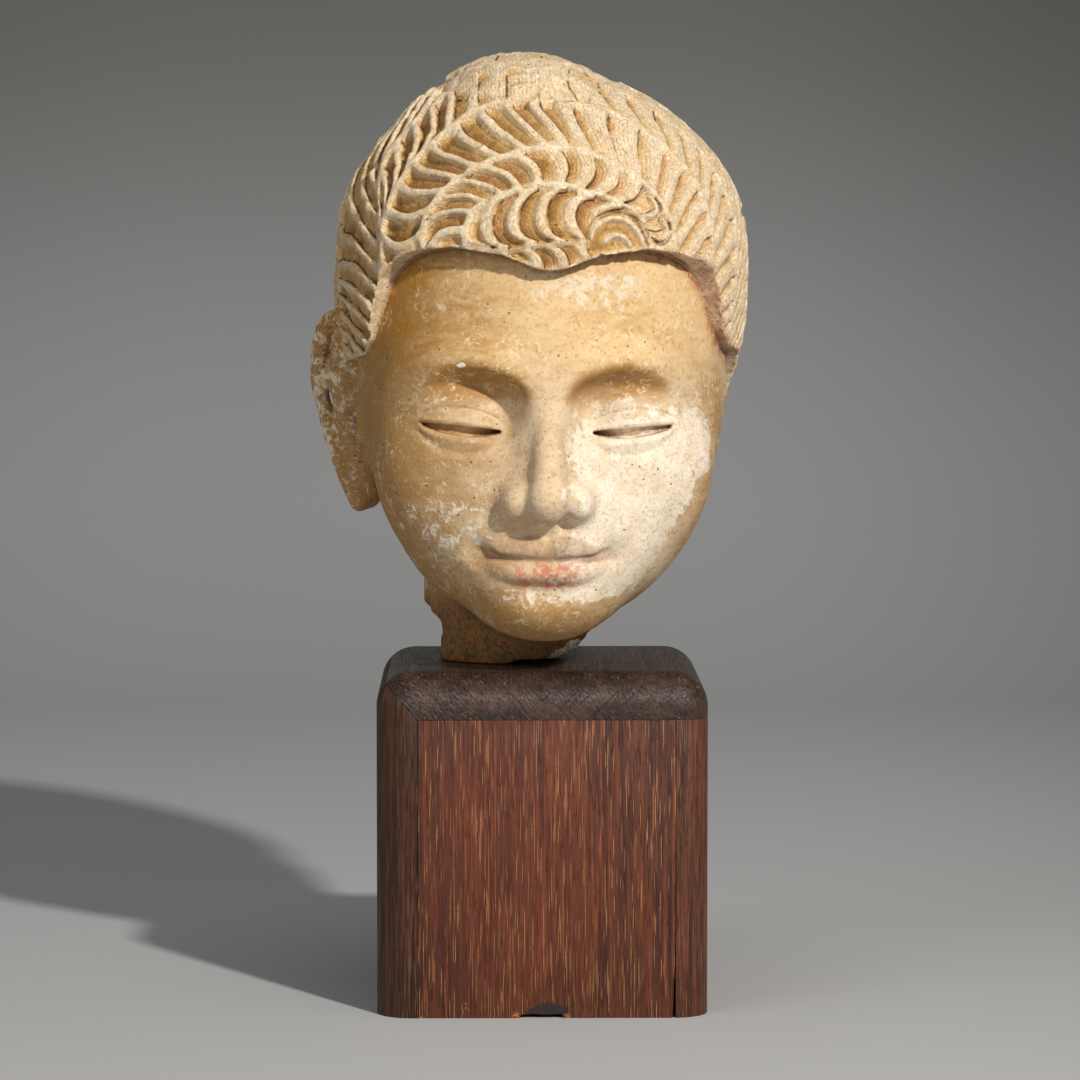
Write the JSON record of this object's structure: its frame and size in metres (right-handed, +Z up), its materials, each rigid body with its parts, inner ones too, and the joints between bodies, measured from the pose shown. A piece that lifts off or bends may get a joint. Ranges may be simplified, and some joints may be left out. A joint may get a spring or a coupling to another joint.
{
  "type": "stucco buddha head on a block",
  "caption": "Life-size painted stucco head of the Buddha with carved locks of hair, a lost ear and a broken neck, on a hollow block of dark wood.",
  "frame": {"origin": "middle of the wooden block's underside, on the surface that it stands on", "axes": "+Z up, the face looks along -Y, +X to the viewer's right; the surviving ear is at -X"},
  "size_m": [0.1624, 0.1925, 0.3493],
  "materials": {
    "painted_stucco": "matte",
    "dark_wood": "satin",
    "red_wood": "satin"
  },
  "bodies": {
    "root": {"stucco_head": "painted_stucco", "block_top": "dark_wood", "block_left": "dark_wood", "block_right": "red_wood", "block_front": "red_wood", "block_back": "red_wood", "block_bottom": "dark_wood"}
  },
  "joints": []
}
